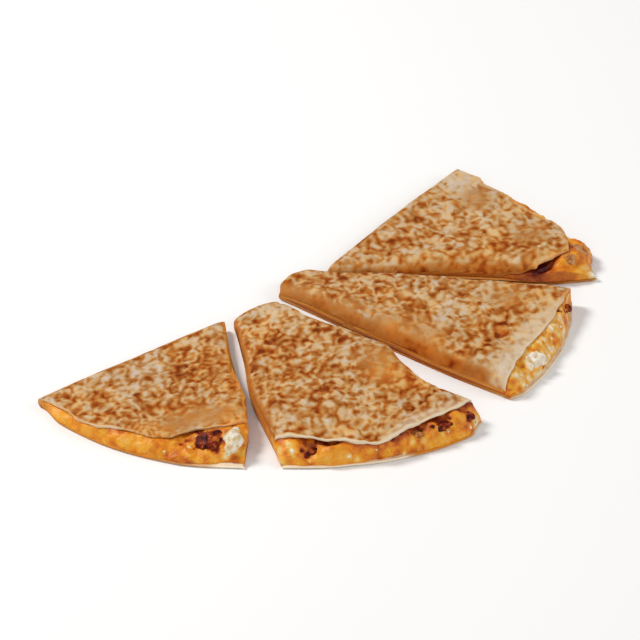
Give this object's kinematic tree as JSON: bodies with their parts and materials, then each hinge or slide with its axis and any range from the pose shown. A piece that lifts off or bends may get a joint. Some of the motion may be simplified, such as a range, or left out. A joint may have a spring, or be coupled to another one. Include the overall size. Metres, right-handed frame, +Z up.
{
  "type": "quesadilla",
  "caption": "Toasted flour tortilla folded over melted cheese and meat, cut into wedges that are fanned out flat as a half-moon, ready to serve",
  "frame": {"origin": "middle of the bounding box of all the wedges, on the surface that they rest on", "axes": "+X along the fold, from the tip of wedge a to the tip of wedge d; -Y towards the round side; +Z up"},
  "size_m": [0.2716, 0.1562, 0.0121],
  "materials": {
    "tortilla": "dry toasted bread surface, cream with orange-brown spots",
    "cheese": "glossy melted cheese, orange and yellow",
    "chicken_dark": "browned meat, slightly moist",
    "chicken_pale": "pale cooked meat, slightly moist",
    "cream": "moist white lump of cheese or cream"
  },
  "bodies": {
    "root": {"tortilla_a": "tortilla", "tortilla_b": "tortilla", "tortilla_c": "tortilla", "tortilla_d": "tortilla", "cheese_a": "cheese", "cheese_b": "cheese", "cheese_c": "cheese", "cheese_d": "cheese", "chicken_a_dark": "chicken_dark", "chicken_a_pale": "chicken_pale", "chicken_b_deep": "chicken_dark", "chicken_b_middle": "chicken_dark", "chicken_b_right": "chicken_dark", "chicken_b_corner": "chicken_dark", "cream_c": "cream", "chicken_c": "chicken_dark", "chicken_d_front": "chicken_dark", "chicken_d_side": "chicken_dark"}
  },
  "joints": []
}
